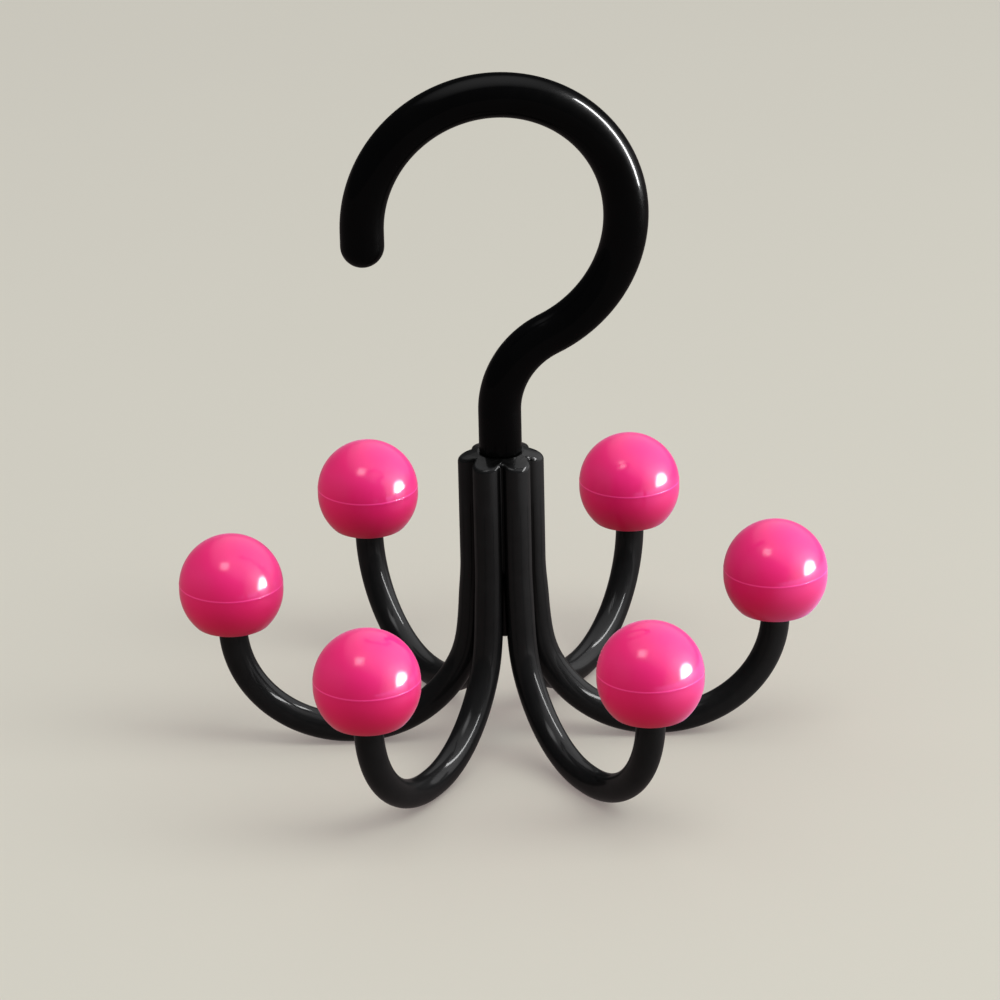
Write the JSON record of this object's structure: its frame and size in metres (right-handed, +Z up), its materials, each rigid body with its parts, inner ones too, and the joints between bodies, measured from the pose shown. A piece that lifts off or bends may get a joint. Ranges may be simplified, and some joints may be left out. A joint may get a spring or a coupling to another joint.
{
  "type": "rotating closet hook",
  "caption": "Question-mark hook that swivels on a fluted column of J-shaped arms with ball tips, for hanging bags, belts and scarves from a closet rail.",
  "frame": {"origin": "on the table, under the column's axis, in the plane of the six arms' feet", "axes": "+Z up the column's axis to the hook, +X along arm_1, +Y between arm_2 and arm_3, across the hook's opening"},
  "size_m": [0.1454, 0.129, 0.1581],
  "materials": {
    "black_plastic": "moulded, glossy",
    "pink_plastic": "moulded, glossy hot pink",
    "zinc_steel": "zinc plated"
  },
  "bodies": {
    "arms": {"hub_core": "black_plastic", "arm_1": "black_plastic", "arm_2": "black_plastic", "arm_3": "black_plastic", "arm_4": "black_plastic", "arm_5": "black_plastic", "arm_6": "black_plastic", "ball_tip_1": "pink_plastic", "ball_tip_2": "pink_plastic", "ball_tip_3": "pink_plastic", "ball_tip_4": "pink_plastic", "ball_tip_5": "pink_plastic", "ball_tip_6": "pink_plastic"},
    "hook": {"swivel_hook": "black_plastic", "swivel_washer": "zinc_steel", "swivel_screw": "zinc_steel"}
  },
  "joints": [
    {"name": "hook_swivel", "type": "hinge", "parent": "arms", "child": "hook", "pos_m": [0, 0, 0.0705], "axis": [0, 0, 1], "continuous": true}
  ]
}
